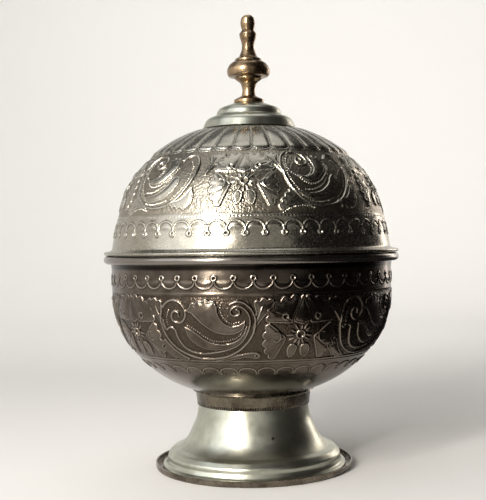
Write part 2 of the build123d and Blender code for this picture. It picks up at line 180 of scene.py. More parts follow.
# Each lamp: degrees round the bowl, from the front to the right, and degrees up; metres from the
# middle; metres wide and high; degrees of spread; watts; colour; and the place that it is aimed at.
SOFTBOXES = {
    "key_softbox": (-31, 20, 1.25, 0.11, 1.0, 80, 4.4, "#FFF9F0", MIDDLE),
    "window_softbox": (-54, 30, 1.35, 1.45, 1.45, 140, 6.2, "#F4F7FF", MIDDLE),
    "overhead_softbox": (200, 80, 1.3, 1.0, 1.0, 140, 2.4, "#FFFFFF", MIDDLE),
    "edge_softbox": (138, 12, 1.3, 0.10, 0.9, 50, 0.2, "#FFF1E6", MIDDLE),
    "backdrop_softbox": (180, 68, 1.15, 1.2, 0.5, 120, 6.0, "#FFFFFF", (0, 1.7, 0.45)),
    "left_wall_softbox": (-105, 66, 1.15, 1.4, 0.4, 110, 6.5, "#FFFFFF", (-1.66, 0.3, 0.35)),
}

for title, settings in SOFTBOXES.items():
    azimuth, elevation, distance, width, height, spread, watts, colour, target = settings
    a, e = math.radians(azimuth), math.radians(elevation)
    away = Vector((math.sin(a) * math.cos(e), -math.cos(a) * math.cos(e), math.sin(e)))
    place = Vector(MIDDLE) + away * distance
    bpy.ops.object.light_add(type="AREA", location=place)
    lamp = bpy.context.object
    lamp.name = title
    lamp.data.shape = "RECTANGLE"
    lamp.data.size, lamp.data.size_y = width, height
    lamp.data.spread = math.radians(spread)
    lamp.data.energy = watts
    lamp.data.color = linear(colour)[:3]
    lamp.rotation_mode = "QUATERNION"
    lamp.rotation_quaternion = (Vector(target) - place).to_track_quat("-Z", "Y")
    lamp.visible_camera = False
    lamp.select_set(False)

# %% World
AIR_STRENGTH = 0.36  # weak, and paler on the left than on the right

world = bpy.data.worlds.new("studio_air")
world.use_nodes = True
bpy.context.scene.world = world
air = world.node_tree
air.nodes.clear()
direction = add_node(air, "TexCoord")
split = add_node(air, "SeparateXYZ", {0: direction.outputs["Generated"]})
side = add_node(air, "MapRange", {"Value": split.outputs["X"], "From Min": -0.9, "From Max": 0.5})
tone = add_node(air, "Mix", {0: side, 6: "#C4C7CC", 7: "#4A4440"}, data_type="RGBA")
background = add_node(air, "Background", {"Color": tone, "Strength": AIR_STRENGTH})
add_node(air, "OutputWorld", {"Surface": background})
bpy.context.scene.view_settings.view_transform = "Standard"
print("world nodes", len(air.nodes))

# %% Dark card
CARD_TURN = math.radians(80)
CARD_AWAY, CARD_MIDDLE = 1.05, 0.6  # m from the axis, and m up to its middle
CARD_SIZE = (2.3, 1.19, 1)
CARD_FOOT = 0.92  # m of card on the floor, towards the bowl

toward = Vector((-math.sin(CARD_TURN), math.cos(CARD_TURN), 0))
middle = Vector((0, 0, CARD_MIDDLE)) - CARD_AWAY * toward
bpy.ops.mesh.primitive_plane_add(size=1, location=middle, rotation=(math.pi / 2, 0, CARD_TURN))
card = bpy.context.object
card.name = "dark_card"
card.scale = CARD_SIZE
bpy.ops.object.transform_apply(location=True, rotation=True, scale=True)
bpy.ops.object.mode_set(mode="EDIT")
bpy.ops.mesh.select_mode(type="EDGE")
bpy.ops.mesh.select_all(action="DESELECT")
bpy.ops.object.mode_set(mode="OBJECT")
for edge in card.data.edges:
    edge.select = all(card.data.vertices[v].co.z < 0.1 for v in edge.vertices)
bpy.ops.object.mode_set(mode="EDIT")
bpy.ops.mesh.extrude_edges_move(TRANSFORM_OT_translate={"value": tuple(CARD_FOOT * toward)})
bpy.ops.object.mode_set(mode="OBJECT")
card.visible_camera = card.visible_diffuse = card.visible_shadow = False
felt = empty_material("dark_felt")
cloth = add_node(felt.node_tree, "BsdfPrincipled", {"Base Color": "#1C1A18", "Roughness": 1.0})
finish_material(felt, cloth)
card.data.materials.append(felt)
card.select_set(False)
print("card faces", len(card.data.polygons))

# %% [markdown]
# ## Metals
# A metal takes its look from its colour, its roughness and what it mirrors, so the roughness varies
# most. Spun tin is sheet of copper alloy, tinned and worn to a pale greenish silver, with the fine
# rings that the spinning tool leaves. The collar and the pan are spun from darker sheet. The finial
# is turned brass, and the parts inside the lid are plain iron. Chased sheet is hammered over pitch,
# bright where hands rub it and brown where they don't reach, and its raised lines are painted pale,
# partly for that wear and partly as a highlight.

# %% Spun and turned metal
# Nearly black and painted on as shade: a painted shadow under the bowl's rim bead, and painted shade
# in the collar's notches.
PAINTED_SHADE = "#15110E"
RING_WIDTH, CLOUD_WIDTH, SPECK_WIDTH, DENT_WIDTH = 0.9, 14, 1.3, 9  # mm
DENT_DEPTH = 0.2 * MM
NOTCH_LOW, NOTCH_HIGH, NOTCH_DEPTH = 44.3 * MM, 44.9 * MM, 0.35 * MM


def spun_metal(name, bright, stain, roughness, ring_depth, stain_share, notches=0):
    """Sheet or bar worked on a lathe: rings round Z, and cloudy stains.

    A number of notches goes round the collar's lower edge, and each is painted dark as its shade.
    """
    material = empty_material(name)
    tree = material.node_tree
    place = add_node(tree, "TexCoord").outputs["Object"]
    flat = add_node(tree, "VectorMath", {0: place, 1: (1, 1, 0)}, operation="MULTIPLY")
    radius = add_node(tree, "VectorMath", {0: flat}, operation="LENGTH")
    x, y, z = add_node(tree, "SeparateXYZ", {0: place}).outputs
    rings_at = add_node(tree, "CombineXYZ", {"X": radius, "Z": z})
    rings, clouds, specks, dents = (
        add_node(tree, "TexNoise", {"Vector": at, "Scale": 1 / (width * MM), "Detail": detail,
                                    "Roughness": fineness})
        for at, width, detail, fineness in (
            (rings_at, RING_WIDTH, 3, 0.7), (place, CLOUD_WIDTH, 5, 0.62),
            (place, SPECK_WIDTH, 2, 0.6), (place, DENT_WIDTH, 1, 0.5))
    )
    stained = add_node(tree, "MapRange",
                       {"Value": clouds, "From Min": 0.62, "From Max": 0.35, "To Max": stain_share})
    colour = add_node(tree, "Mix", {0: stained, 6: bright, 7: stain}, data_type="RGBA")
    dull = add_node(tree, "Math", {0: clouds, 1: specks}, operation="ADD")
    shine = add_node(tree, "MapRange", {"Value": dull, "From Min": 0.7, "From Max": 1.3,
                                        "To Min": roughness * 0.88, "To Max": roughness * 1.14})
    ringed = add_node(tree, "Bump", {"Height": rings, "Strength": 1.0, "Distance": ring_depth})
    facing = add_node(tree, "Bump",
                      {"Height": dents, "Strength": 1.0, "Distance": DENT_DEPTH, "Normal": ringed})
    if notches:
        turn = add_node(tree, "Math", {0: y, 1: x}, operation="ARCTAN2")
        count = add_node(tree, "Math", {0: turn, 1: notches}, operation="MULTIPLY")
        wave = add_node(tree, "Math", {0: count}, operation="SINE")
        edge = add_node(tree, "MapRange",
                        {"Value": z, "From Min": NOTCH_HIGH, "From Max": NOTCH_LOW})
        cut = add_node(tree, "Math", {0: wave, 1: edge}, operation="MULTIPLY")
        facing = add_node(tree, "Bump", {"Height": cut, "Strength": 1.0, "Distance": NOTCH_DEPTH,
                                         "Normal": facing})
        # Painted shade: each notch is darkened, as if light did not reach into it.
        notch_shade = add_node(tree, "MapRange", {"Value": cut, "From Min": 0.1, "From Max": 0.7})
        colour = add_node(tree, "Mix", {0: notch_shade, 6: colour, 7: PAINTED_SHADE}, data_type="RGBA")
    metal = add_node(tree, "BsdfPrincipled",
                     {"Base Color": colour, "Metallic": 1.0, "Roughness": shine, "Normal": facing})
    finish_material(material, metal)
    return material


# %% Finishes of the spun and turned pieces
# Worn tin is greyer than silver, and its greenish cast comes from the copper alloy under it.
spun_tin = spun_metal("spun_tinned_copper", "#C2C4B6", "#918E7C", 0.32, 0.02 * MM, 0.5)
# Old brass on a lathe keeps fine rings and goes bronze brown, with pale rubbed places.
turned_brass = spun_metal("turned_aged_brass", "#A58D6E", "#5A4837", 0.28, 0.015 * MM, 0.75)
# The collar and the pan under the foot are darker sheet, burnished. The collar's edge is notched,
# and the notches are painted dark as shade.
dark_sheet = spun_metal("burnished_dark_copper", "#80786C", "#433A31", 0.27, 0.02 * MM, 0.8)
notched_sheet = spun_metal("notched_dark_copper", "#746C5E", "#39312A", 0.27, 0.02 * MM, 0.8, 150)
# Iron is dull and grey. Of the iron parts only the rod, the nut and the washer show, under the lid.
dull_iron = spun_metal("dull_iron", "#8A8886", "#54504C", 0.45, 0.02 * MM, 0.8)

FINISHES = (
    (spun_tin, ("foot", "lid_cap", "lid_bezel")),
    (dark_sheet, ("base_pan",)),
    (notched_sheet, ("neck_collar",)),
    (turned_brass, ("finial_base", "finial_stem", "finial_bulb", "finial_spindle", "finial_knob")),
    (dull_iron, ("bowl_rim_wire", "finial_rod", "finial_washer", "finial_nut")),
)
for material, nodes in FINISHES:
    for node in nodes:
        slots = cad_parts[node].data.materials
        slots.clear()
        slots.append(material)
    print(material.name, "on", ", ".join(nodes))


# %% Chased sheet metal
def chased_metal(name, bright, worn, patina, ground, rim, rim_share, roughness):
    """Hammered sheet: the mesh's own attributes say where it is worn pale and painted with a
    highlight, brown or punched.

    Over the bowl's mouth and under its belly, where lid and hands rub it, the metal takes the rim's
    colour. A painted shadow, nearly black, is laid in the corner under the rim. The lid has no such
    share.
    """
    material = empty_material(name)
    tree = material.node_tree
    place = add_node(tree, "TexCoord").outputs["Object"]
    height = add_node(tree, "SeparateXYZ", {0: place}).outputs["Z"]
    rubbed_and_sheen, matted = (add_node(tree, "Attribute", attribute_name=title).outputs["Fac"]
                      for title in ("rubbed_and_sheen", "matted"))
    clouds, specks = (
        add_node(tree, "TexNoise", {"Vector": place, "Scale": 1 / (width * MM), "Detail": detail,
                                    "Roughness": fineness})
        for width, detail, fineness in ((11, 5, 0.6), (1.1, 3, 0.65))
    )
    # Each layer lies over the last: what it goes by, the values where it starts and is full, how
    # much it then covers, and its colour. They are cloudy wear, brown hollows, punched ground,
    # raised ridges made pale partly by wear and partly as a painted highlight and, by height, the
    # belly, a painted shadow under the rim and the mouth.
    layers = (
        (clouds, 0.35, 0.75, 0.4, bright),
        (rubbed_and_sheen, 0.5, 0.15, 0.85, patina),
        (matted, 0.0, 1.0, 0.75, ground),
        # Raised places are made pale partly by wear and partly as a painted highlight.
        (rubbed_and_sheen, 0.55, 0.9, 0.8, bright),
        (height, 71.0 * MM, 64.0 * MM, rim_share * 0.8, rim),
        # A painted shadow: the band just under the rim bead is darkened nearly to black.
        (height, 135.0 * MM, 136.4 * MM, rim_share, PAINTED_SHADE),
        (height, 138.4 * MM, 139.2 * MM, rim_share, rim),
    )
    colour = worn
    for value, start, full, most, over in layers:
        share = add_node(tree, "MapRange",
                         {"Value": value, "From Min": start, "From Max": full, "To Max": most})
        colour = add_node(tree, "Mix", {0: share, 6: colour, 7: over}, data_type="RGBA")
    dull = add_node(tree, "MapRange", {"Value": specks, "From Min": 0.3, "From Max": 0.7,
                                       "To Min": roughness * 0.8, "To Max": roughness * 1.25})
    rough = add_node(tree, "Math", {0: matted, 1: 0.05, 2: dull}, operation="MULTIPLY_ADD")
    grain = add_node(tree, "Bump", {"Height": specks, "Strength": 0.6, "Distance": 0.05 * MM})
    punch_pitch = 1.4 * MM
    punches = add_node(tree, "TexVoronoi", {"Vector": place, "Scale": 1 / punch_pitch})
    matting = add_node(tree, "Bump", {"Height": punches, "Strength": matted, "Distance": 0.2 * MM,
                                      "Normal": grain})
    metal = add_node(tree, "BsdfPrincipled",
                     {"Base Color": colour, "Metallic": 1.0, "Roughness": rough, "Normal": matting})
    finish_material(material, metal)
    return material


chased_tin = chased_metal("chased_tinned_copper", "#BDBAAF", "#9C978A", "#6E6555", "#877F70",
                          "#BDBAAF", 0.0, 0.25)
chased_dark = chased_metal("chased_dark_copper", "#968D82", "#4F463D", "#1B1511", "#443B32",
                           "#87817A", 0.92, 0.21)

# %% [markdown]
# ## The section of a chased piece
# The dome and the bowl are turned shapes before they are chased, so their CAD mesh is cut through
# the axis and the cut line is read as radius and height. The CAD outside already carries the flutes
# and the main leaves, which are chased again here in full, so the plain outside is taken from the
# inner wall and the thickness of the sheet. It is then walked in even small steps, on a smooth
# curve through the points. The rest of the section, hem, rim and inside, keeps the CAD points,
# thinned where it hardly turns, and each sharp corner is eased by a hair.

# %% Cutting a section
TINY = 1e-9  # below which a length counts as none
CUT_TURN = math.radians(40)  # from the front, where the cut runs along no edge of the relief
MERGE, MERGE_CUT = 1e-6, 2e-6  # m, within which vertices are one


def cut_section(name):
    """The closed outline, radius by height in mm, that a plane through the axis cuts out."""
    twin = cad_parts[name].copy()
    twin.data = twin.data.copy()
    bpy.context.scene.collection.objects.link(twin)
    twin.hide_viewport = False
    bpy.context.view_layer.objects.active = twin
    twin.select_set(True)
    bpy.ops.object.mode_set(mode="EDIT")
    bpy.ops.mesh.select_all(action="SELECT")
    bpy.ops.mesh.remove_doubles(threshold=MERGE)
    bpy.ops.mesh.bisect(plane_co=(0, 0, 0), plane_no=(math.cos(CUT_TURN), math.sin(CUT_TURN), 0),
                        clear_inner=True, clear_outer=True)
    bpy.ops.mesh.select_all(action="SELECT")
    bpy.ops.mesh.remove_doubles(threshold=MERGE_CUT)
    bpy.ops.object.mode_set(mode="OBJECT")
    outward = Vector((math.sin(CUT_TURN), -math.cos(CUT_TURN), 0))
    places = {v.index: (v.co @ outward / MM, v.co.z / MM)
              for v in twin.data.vertices if v.co @ outward > 0}
    beside = {index: [] for index in places}
    for edge in twin.data.edges:
        a, b = edge.vertices
        if a in places and b in places:
            beside[a].append(b)
            beside[b].append(a)
    loose = [index for index, near in beside.items() if len(near) == 1]
    start = loose[0] if loose else next(iter(places))
    walk, last = [start], None
    while len(walk) < len(places):
        onward = [n for n in beside[walk[-1]] if n != last]
        last = walk[-1]
        if not onward or onward[0] == start:
            break
        walk.append(onward[0])
    bpy.data.meshes.remove(twin.data)
    section = [places[index] for index in walk]
    if loose:
        section = [(0.0, section[0][1]), *section, (0.0, section[-1][1])]
    print(name, "section:", len(section), "points of", len(places))
    return np.array(section)


def split_section(section, low, high):
    """Splits a closed section into the outside from low to high, and the rest on round to low."""
    first, last = (int(np.hypot(*(section - np.array(place)).T).argmin()) for place in (low, high))
    if first > last:
        section, first, last = section[::-1], len(section) - 1 - first, len(section) - 1 - last
    forward = section[first:last + 1]
    around = np.concatenate([section[last:], section[:first + 1]])
    length = [np.hypot(*np.diff(part, axis=0).T).sum() for part in (forward, around)]
    return (forward, around) if length[0] < length[1] else (around[::-1], forward[::-1])


# %% The plain outside
SHEET = 0.9  # mm, the thickness of the beaten walls
LEAST_TURN, LONGEST_RUN = math.radians(10), 6.0  # mm, what a point needs to be kept
EASING_PASSES = 40
SHARP, EASE = math.radians(20), 0.12  # mm that a sharp corner of the section is eased by


def tangents(points):
    """The direction of an open line at each of its points, as units."""
    steps = np.diff(points, axis=0)
    lengths = np.hypot(*steps.T)[:, None]
    slopes = steps / np.maximum(lengths, TINY)
    share = lengths[1:] / (lengths[1:] + lengths[:-1])
    inner = slopes[:-1] * share + slopes[1:] * (1 - share)
    runs = np.concatenate([slopes[:1], inner, slopes[-1:]])
    return runs / np.maximum(np.hypot(*runs.T), TINY)[:, None]


def thinned(points):
    """Leaves out the points of an open line where it hardly turns."""
    kept, last_run = [0], None
    for number in range(1, len(points) - 1):
        run, onward = points[number] - points[kept[-1]], points[number + 1] - points[number]
        first_run = run if last_run is None else last_run
        turn = abs(math.remainder(math.atan2(*onward) - math.atan2(*first_run), 2 * math.pi))
        if turn > LEAST_TURN or np.hypot(*run) > LONGEST_RUN:
            kept.append(number)
            last_run = onward
    return points[[*kept, len(points) - 1]]


def plain_outside(section, low, high):
    """The outside from low to high without its relief, and the rest of the section round to low.

    The inner wall is plain, so it is moved out by the thickness of the sheet. The walk goes up
    along it, and down along the outside.
    """
    relief_side, rest = split_section(section, low, high)
    first, last = relief_side[0], relief_side[-1]
    along = tangents(rest[::-1])
    outward = rest[::-1] + SHEET * np.c_[along[:, 1], -along[:, 0]]
    between = (outward[:, 1] > first[1] + SHEET / 3) & (outward[:, 1] < last[1] - SHEET / 3)
    between &= along[:, 1] > 0
    return np.concatenate([[first], outward[between], [last]]), thinned(rest)


def even_steps(points, step):
    """Walks a smooth curve through the points in even steps of about one length.

    It gives the places and the step. A mirror shows a kink of half a degree, so the places are
    eased along 2 mm, which moves none by 0.05 mm.
    """
    lengths = np.hypot(*np.diff(points, axis=0).T)
    at = np.concatenate([[0], np.cumsum(lengths)])
    runs = tangents(points)
    count = round(at[-1] / step)
    wanted = np.linspace(0, at[-1], count + 1)
    span = np.clip(np.searchsorted(at, wanted, side="right") - 1, 0, len(lengths) - 1)
    t = ((wanted - at[span]) / lengths[span])[:, None]
    size = lengths[span][:, None]
    places = (
        (2 * t**3 - 3 * t**2 + 1) * points[span] + (t**3 - 2 * t**2 + t) * size * runs[span]
        + (3 * t**2 - 2 * t**3) * points[span + 1] + (t**3 - t**2) * size * runs[span + 1]
    )
    for _ in range(EASING_PASSES):
        places[1:-1] = (places[:-2] + 2 * places[1:-1] + places[2:]) / 4
    return places, at[-1] / count


def eased(points):
    """The inner points of an open line, each sharp corner given as two points close to it."""
    run = []
    for before, here, after in zip(points, points[1:], points[2:]):
        back, on = before - here, after - here
        turn = math.pi - math.acos(np.clip(back @ on / np.hypot(*back) / np.hypot(*on), -1, 1))
        if turn > SHARP and min(np.hypot(*back), np.hypot(*on)) > 3 * EASE:
            run += [here + back / np.hypot(*back) * EASE, here + on / np.hypot(*on) * EASE]
        else:
            run.append(here)
    return run


# %% [markdown]
# ## A sheet to chase
# A chaser works from a pattern rolled out flat. Here the pattern is one fifth of the band, a height
# map in real millimetres whose columns run round the piece and whose rows run up its outside. Both
# bands repeat five times. Lines, beads, rings and leaves are drawn into it by their distance from
# listed points, as a punch and a liner would raise them from behind. The lengths along x are
# those at one reference radius, and the map knows how much each row is narrower, so a round ring
# stays round on the dome. Where two marks meet, the higher one stands, so their order doesn't
# matter.


# %% Curves through hand-placed points
def smooth(points, closed=False, pieces=5):
    """A curve through listed points, as short straight runs."""
    points = np.array(points, float)
    if closed:
        ring = np.concatenate([points[-1:], points, points[:2]])
    else:
        before, after = 2 * points[0] - points[1], 2 * points[-1] - points[-2]
        ring = np.concatenate([[before], points, [after]])
    run = []
    for a, b, c, d in zip(ring, ring[1:], ring[2:], ring[3:]):
        for t in np.arange(pieces) / pieces:
            run.append(0.5 * (2 * b + (c - a) * t + (2 * a - 5 * b + 4 * c - d) * t**2
                              + (3 * b - a - 3 * c + d) * t**3))
    run.append(points[0] if closed else points[-1])
    return np.array(run)


def lobes(notches, swell=0.42):
    """A scalloped edge: a round lobe from notch to notch, swelling to the left of its way."""
    notches = np.array(notches, float)
    run = []
    for a, b in zip(notches, notches[1:]):
        chord = b - a
        left = np.array([-chord[1], chord[0]]) * swell
        run += [a + chord * t + left * math.sin(math.pi * t) ** 0.8 for t in np.arange(7) / 7]
    return run + [notches[-1]]


def moved(points, by=(0, 0), size=1.0, mirror=False):
    """The points scaled, mirrored left to right if wanted, and moved."""
    places = np.array(points, float) * size
    if mirror:
        places = places[::-1] * (-1, 1)
    return places + np.array(by)


# %% The sheet and its marks
REPEATS = 5
PANEL_COLUMNS = 284
STEP = 0.42  # mm between rows
SECTOR = 2 * math.pi / REPEATS
BROAD_LEAF, BROAD_SWELL = 8.0, 1.7  # mm across, from which a leaf's sides are that much wider
LEAF_BODY, LEAF_RIM = 0.75, 0.9  # the share of its height without the rim, and mm of rim
DIMPLE = 0.35  # mm deep, in a ring
DENT_RADIUS, DENT_ROWS = 0.62, 0.86  # of the ground's dents, in shares of their pitch
GROUND_SUNK = 0.12  # mm that matted ground lies lower
GROUND_EDGE = 0.25  # mm of height at which a mark is clear of the matting


class Sheet:
    """A fifth of a band, rolled out: what is raised in bodies and in lines, sunk and punched.

    It runs up the outside of a node from low to high. Its y is 0 at the flower's middle, which lies
    below a given height, in mm along the outside.
    """

    def __init__(self, node, reference, low, high, top, flower_below):
        outside, self.rest = plain_outside(cut_section(node), low, high)
        self.profile, self.step = even_steps(outside, STEP)
        self.arcs = self.step * np.arange(len(self.profile))
        self.low = flower_below - np.interp(top, self.profile[:, 1], self.arcs)
        self.reference = reference
        self.width = reference * SECTOR
        self.column = self.width / PANEL_COLUMNS
        self.shrink = self.profile[:, 0] / reference
        self.y = self.low + self.arcs
        self.x = self.column * np.arange(PANEL_COLUMNS)
        shape = (len(self.y), PANEL_COLUMNS)
        self.bodies, self.lines, self.sunk, self.matted, self.dents = np.zeros((5, *shape))
        print(node, "outside:", len(self.y), "rows of", round(self.step, 3), "mm")

    def at(self, height):
        """The y of a height on the outside."""
        return self.low + np.interp(height, self.profile[:, 1], self.arcs)

    def turned(self, degrees):
        """The x of an angle round the axis."""
        return self.reference * math.radians(degrees)

    def window(self, low, high):
        """The places in a box: x, y, how narrow the row is, and the block of the map they are.

        Columns run on past the edge, where the pattern repeats.
        """
        first, last = (math.floor((v - self.low) / self.step) for v in (low[1], high[1]))
        rows = np.arange(max(first, 0), min(last + 2, len(self.y)))
        first, last = (math.floor(v / self.column) for v in (low[0], high[0]))
        columns = np.arange(first, last + 2)
        block = np.ix_(rows, columns % PANEL_COLUMNS)
        return columns * self.column, self.y[rows][:, None], self.shrink[rows][:, None], block

    def distance(self, line, reach):
        """How far every place is from a line, in real mm, up to reach."""
        away = np.full(self.lines.shape, float(reach))
        line = np.array(line, float)
        margin = np.array([reach / self.shrink.min(), reach])
        for a, b in zip(line, line[1:]):
            low, high = np.minimum(a, b) - margin, np.maximum(a, b) + margin
            x, y, shrink, block = self.window(low, high)
            x, y = (x - a[0]) * shrink, y - a[1]
            dx, dy = (b[0] - a[0]) * shrink, b[1] - a[1]
            along = np.clip((x * dx + y * dy) / np.maximum(dx**2 + dy**2, TINY), 0, 1)
            away[block] = np.minimum(away[block], np.hypot(x - along * dx, y - along * dy))
        return away

    def inside(self, outline):
        """Which places an outline holds: a ray to the right crosses it an odd number of times."""
        x, y, _, block = self.window(outline.min(0), outline.max(0))
        held = np.zeros(self.lines.shape, bool)
        for (x0, y0), (x1, y1) in zip(outline, np.roll(outline, -1, axis=0)):
            if y0 != y1:
                crossing = x0 + (y - y0) / (y1 - y0) * (x1 - x0)
                held[block] ^= ((y0 > y) != (y1 > y)) & (x < crossing)
        return held

    def ridge(self, line, width=1.3, height=0.6):
        """A raised round line."""
        share = self.distance(line, width / 2) / (width / 2)
        self.lines = np.maximum(self.lines, height * (1 - share**2) ** 0.7)

    def groove(self, line, width=1.0, depth=0.3):
        """A line sunk with a liner."""
        share = self.distance(line, width / 2) / (width / 2)
        self.sunk = np.maximum(self.sunk, depth * (1 - share**2))

    def leaf(self, outline, height=0.8, bevel=2.2, rim=0.45):
        """A raised leaf with round sides and a fine rim. With no rim it rises softly."""
        outline = np.array(outline, float)
        edge = np.concatenate([outline, outline[:1]])
        if np.ptp(outline, axis=0).min() > BROAD_LEAF:
            bevel *= BROAD_SWELL
        share = np.clip(self.distance(edge, bevel) / bevel, 0, 1)
        rise = np.sqrt(1 - (1 - share) ** 2) if rim else share**2 * (3 - 2 * share)
        body = LEAF_BODY * height * rise * self.inside(outline)
        self.bodies = np.maximum(self.bodies, body)
        if rim:
            self.ridge(edge, LEAF_RIM, rim)

    def dot(self, place, radius, height):
        """One round bead."""
        reach = np.array([radius / self.shrink.min(), radius])
        x, y, shrink, block = self.window(place - reach, place + reach)
        share = np.hypot((x - place[0]) * shrink, y - place[1]) / radius
        bead = height * np.sqrt(np.maximum(1 - share**2, 0))
        self.lines[block] = np.maximum(self.lines[block], bead)

    def beads(self, line, pitch=1.5, radius=0.6, height=0.42):
        """A row of beads along a line."""
        x, y = np.array(line, float).T
        shrink = np.interp(y, self.y, self.shrink)
        steps = np.hypot(np.diff(x) * (shrink[1:] + shrink[:-1]) / 2, np.diff(y))
        at = np.concatenate([[0], np.cumsum(steps)])
        for place in np.linspace(0, at[-1], max(2, round(at[-1] / pitch) + 1)):
            self.dot(np.array([np.interp(place, at, x), np.interp(place, at, y)]), radius, height)

    def ring(self, place, outer, inner, height=0.6):
        """A round ring with a dimple in it, as one blow of a ring punch leaves."""
        turn = np.radians(np.arange(0, 361, 20))
        middle, shrink = (outer + inner) / 2, np.interp(place[1], self.y, self.shrink)
        circle = np.c_[place[0] + middle * np.cos(turn) / shrink, place[1] + middle * np.sin(turn)]
        self.ridge(circle, outer - inner + 0.3, height)
        held = self.distance(np.array([place, place]) + [[0, 0], [1e-3, 0]], inner) / inner
        self.sunk = np.maximum(self.sunk, DIMPLE * (1 - held**2))

    def band(self, y, width=0.9, height=0.4):
        """A straight raised line all the way round."""
        share = np.clip(np.abs(self.y - y) / (width / 2), 0, 1)[:, None]
        self.lines = np.maximum(self.lines, height * (1 - share**2))

    def punch_ground(self, low, high, pitch=1.35, depth=0.13, seed=1):
        """Mats the ground from low to high with small dents, a little out of line as by hand."""
        chance = np.random.default_rng(seed)
        fade = np.clip(np.minimum(self.y - low, high - self.y), 0, 1)
        self.matted = np.maximum(self.matted, fade[:, None])
        radius = DENT_RADIUS * pitch
        for row in np.arange(low + pitch / 2, high, pitch * DENT_ROWS):
            shrink = np.interp(row, self.y, self.shrink)
            count = round(self.width * shrink / pitch)
            reach = np.array([radius / shrink, radius])
            for number in range(count):
                place = np.array([(number + chance.uniform(-0.3, 0.3)) * self.width / count,
                                  row + chance.uniform(-0.25, 0.25) * pitch])
                x, y, _, block = self.window(place - reach, place + reach)
                share = np.hypot((x - place[0]) * shrink, y - place[1]) / radius
                dent = depth * np.maximum(1 - share**2, 0)
                self.dents[block] = np.maximum(self.dents[block], dent)

    def finished(self):
        """The height in mm of every place, and how much of the ground is matted there."""
        free = np.clip(1 - (self.bodies + self.lines) / GROUND_EDGE, 0, 1)
        matted = self.matted * free
        height = self.bodies + self.lines - self.sunk - matted * (GROUND_SUNK + self.dents)
        return height, matted


# %% [markdown]
# ## The flower
# The same flower stands on the bowl and, a little smaller, on the lid: a ring, a wheel of narrow
# petals, a tall pointed leaf on top, two pairs of lobed leaves beside it and buds below. Its points
# are in mm from the ring's middle. Leaves come in pairs, so one is drawn and the other mirrored.

# %% Flower
PETAL_TIPS = [(0.8, 6.6), (4.6, 7.6), (7.2, 5), (9.2, -1), (6.8, -4.2), (3.2, -7.6),
              (-0.6, -9.6), (-4.6, -7.4), (-8, -4.4), (-10.4, -0.8), (-7, 3.2), (-4.4, 7.2)]
TOP_LEAF = [(0.3, 24.3), (-1.6, 19.8), (-3.5, 14.8), (-4.9, 10.8), (-4.6, 8.4), (-2, 7.6),
            (0.3, 6.9), (2.6, 7.8), (4.8, 8.8), (5, 11.2), (3.7, 15.6), (2, 19.8)]
UPPER_LOBES = [(-20.4, 8.2), (-20.2, 12.2), (-17.6, 16.6), (-13.2, 20), (-7.4, 22), (-1.7, 22.2)]
UPPER_ROOT = [(-2.6, 18.4), (-4.4, 14.2), (-5.8, 10.4), (-5.9, 8), (-9.5, 7.6), (-14.5, 8)]
LOWER_LOBES = [(-15.6, -17.2), (-19.6, -13.8), (-21.2, -9), (-21.6, -3.2), (-21.2, 2.4),
               (-19.4, 7)]
LOWER_ROOT = [(-15.6, 4), (-12.6, 0.9), (-10.2, -1), (-9.6, -3.4), (-12.6, -10.4)]
BUD = [(1.2, -9.4), (2.4, -7.4), (4.2, -6.7), (6, -7.2), (7.4, -9.6), (7.2, -13), (5.6, -16.4),
       (2.6, -14.6)]
CROOK = [(-16.4, 1.4), (-13.6, 1.2), (-12.6, -1.6), (-14.0, -4.4), (-16.6, -4.0)]
VEINS = ([(-6.6, 8.3), (-12.0, 12.0), (-16.4, 14.0)], [(-10.2, -2.4), (-15.0, -6.4), (-18.2, -8.0)])
EYE = (-10.2, 11.6)
FAN_LOBES = [(28.4, 18.4), (25, 20.8), (21, 21.2), (17, 19.4)]
FAN_ROOT = [(19.1, 16.5), (22.7, 12.4), (26.1, 8), (29.6, 3.2), (28.6, 9), (27.4, 14)]
FAN_VEIN = [(24, 17.6), (26.2, 12), (29, 5.2)]
# The outline of each leaf that comes in a pair, its height, and how wide its sides slope.
PAIRED_LEAVES = (
    (np.concatenate([lobes(UPPER_LOBES), smooth(UPPER_ROOT)]), 0.95, 2.4),
    (np.concatenate([lobes(LOWER_LOBES), smooth(LOWER_ROOT)]), 0.95, 2.4),
    (smooth(BUD, closed=True), 0.7, 1.8),
)


def petal(tip, root=2.6, half_width=1.15):
    """A narrow pointed petal from near the ring to its tip."""
    tip = np.array(tip, float)
    along = tip / np.hypot(*tip)
    across = np.array([-along[1], along[0]]) * half_width
    start = along * root
    middle, foot = start + (tip - start) * 0.45, across * 0.3
    return smooth([start + foot, middle + across, tip, middle - across, start - foot],
                  closed=True, pieces=3)


def flower(sheet, at, size=1.0):
    """Chases the whole flower round a place on the sheet."""
    for mirror in (False, True):
        for outline, height, bevel in PAIRED_LEAVES:
            sheet.leaf(moved(outline, at, size, mirror), height * size, bevel)
        for vein in VEINS:
            sheet.groove(moved(smooth(vein), at, size, mirror), 0.8, 0.25)
        sheet.ridge(moved(smooth(CROOK), at, size, mirror), 1.0, 0.35)
        sheet.ring(moved([EYE], at, size, mirror)[0], 2.3 * size, 1.2 * size, 0.35)
    top_leaf = smooth(TOP_LEAF, closed=True, pieces=3)
    sheet.leaf(moved(top_leaf, at, size), 1.05 * size, 2.6)
    for tip in PETAL_TIPS:
        sheet.leaf(moved(petal(tip), at, size), 0.75 * size, 1.1, rim=0.0)
    sheet.ring(at, 3.1 * size, 1.9 * size, 0.95)


def palmette(sheet, at, size=1.0, mirror=False):
    """The small fan that fills the corner between flower and scroll, to the right of a flower."""
    fan = np.concatenate([lobes(FAN_LOBES, -0.45), smooth(FAN_ROOT)])
    sheet.leaf(moved(fan, at, size, mirror), 0.75, 1.9)
    sheet.ridge(moved(smooth(FAN_VEIN), at, size, mirror), 0.9, 0.35)
